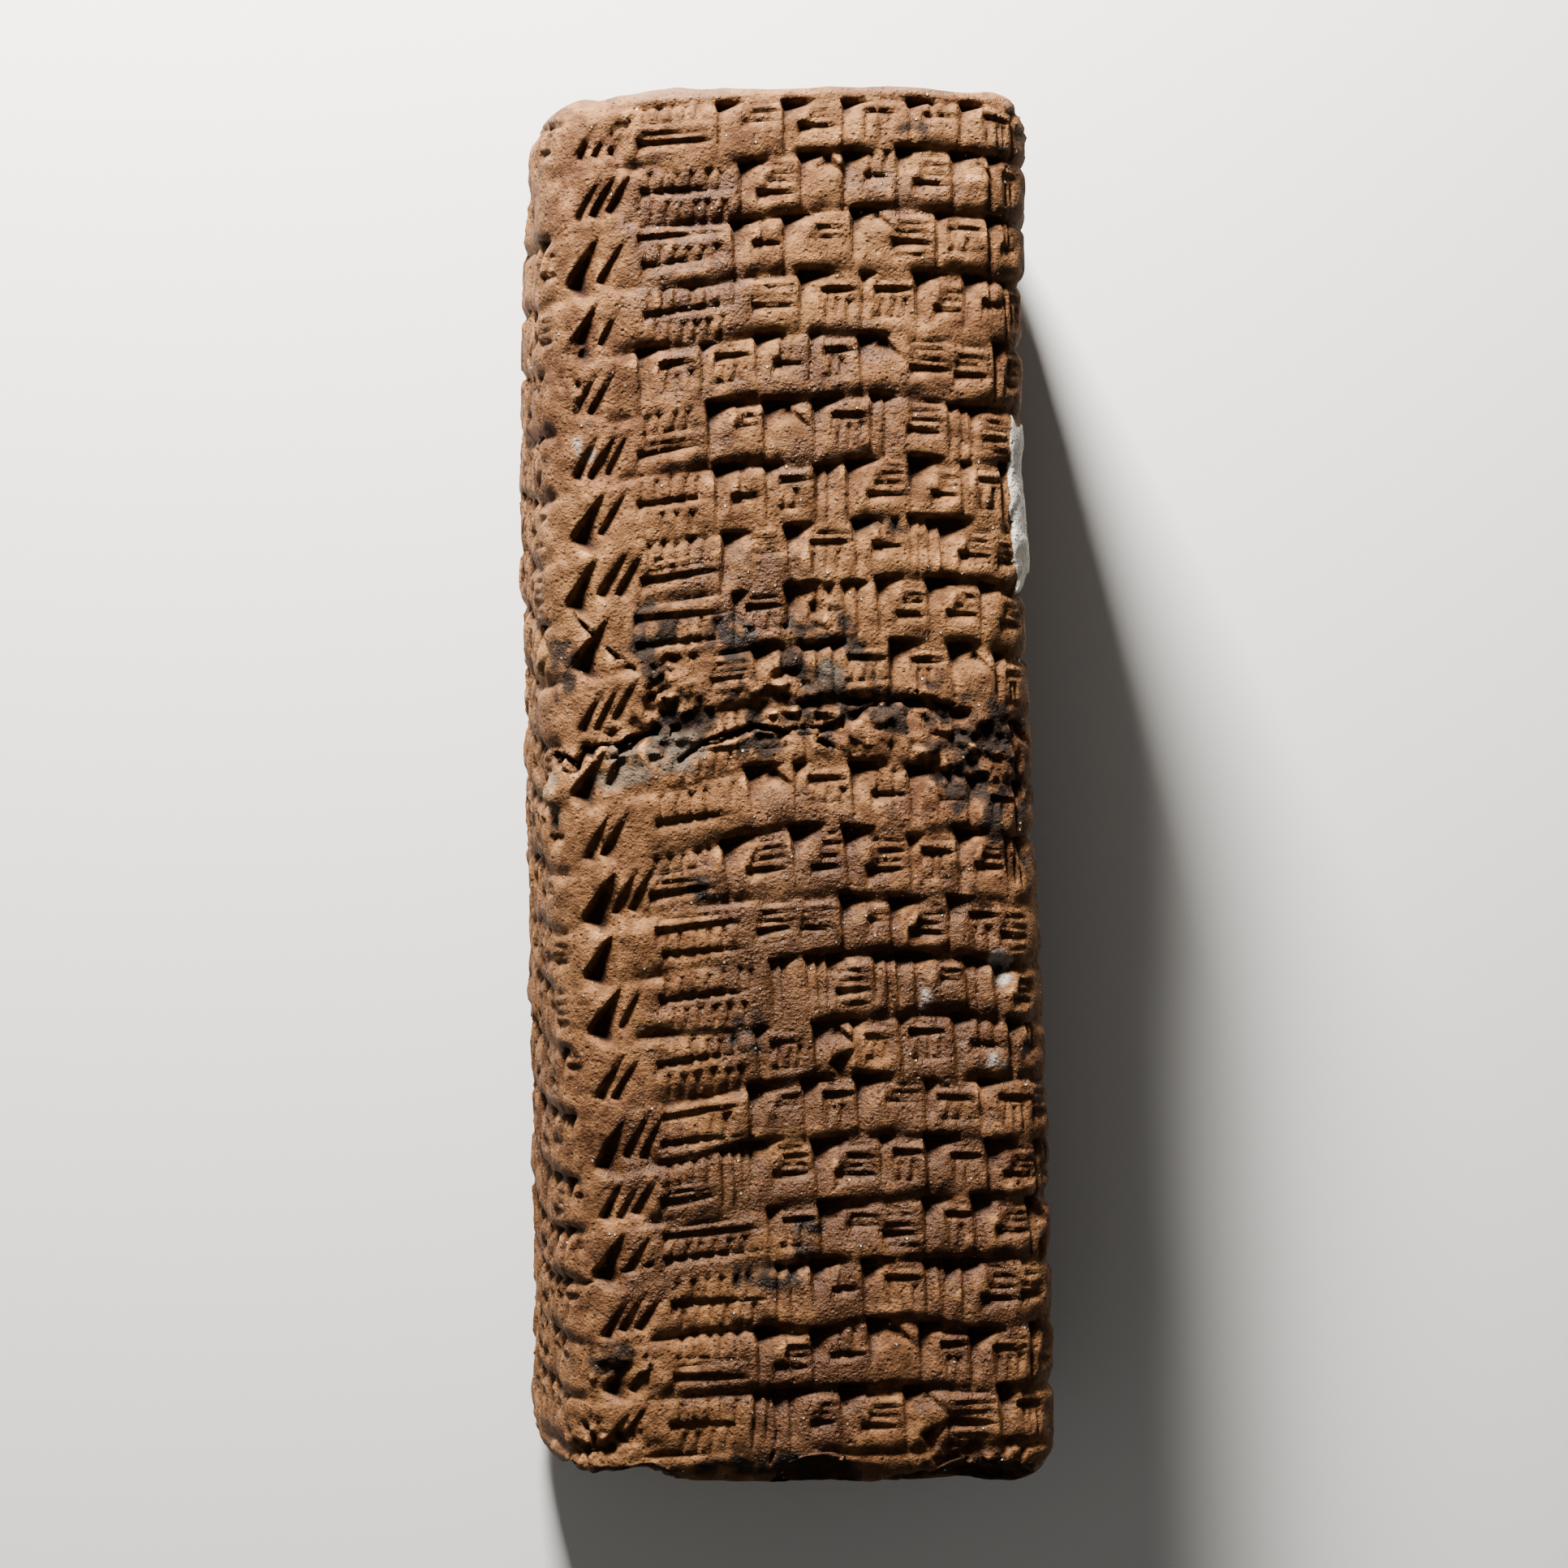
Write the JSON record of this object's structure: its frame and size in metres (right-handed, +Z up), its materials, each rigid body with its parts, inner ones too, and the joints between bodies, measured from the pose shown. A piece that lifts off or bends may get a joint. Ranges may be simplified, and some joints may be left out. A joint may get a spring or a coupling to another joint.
{
  "type": "cuneiform tablet",
  "caption": "Thick four-sided bar of fired clay with rounded edges, ruled into rows of small wedge-shaped strokes, cracked across the middle and chipped at the foot.",
  "frame": {"origin": "centre of the bounding box's underside, on the surface the tablet lies on", "axes": "+X to the reader's right, +Y towards the head of the writing, +Z up, out of the best written face"},
  "size_m": [0.065, 0.172, 0.0555],
  "materials": {
    "clay": "matte, sand-tempered buff-brown clay with soot-dark patches"
  },
  "bodies": {
    "root": {"clay_tablet": "clay"}
  },
  "joints": []
}
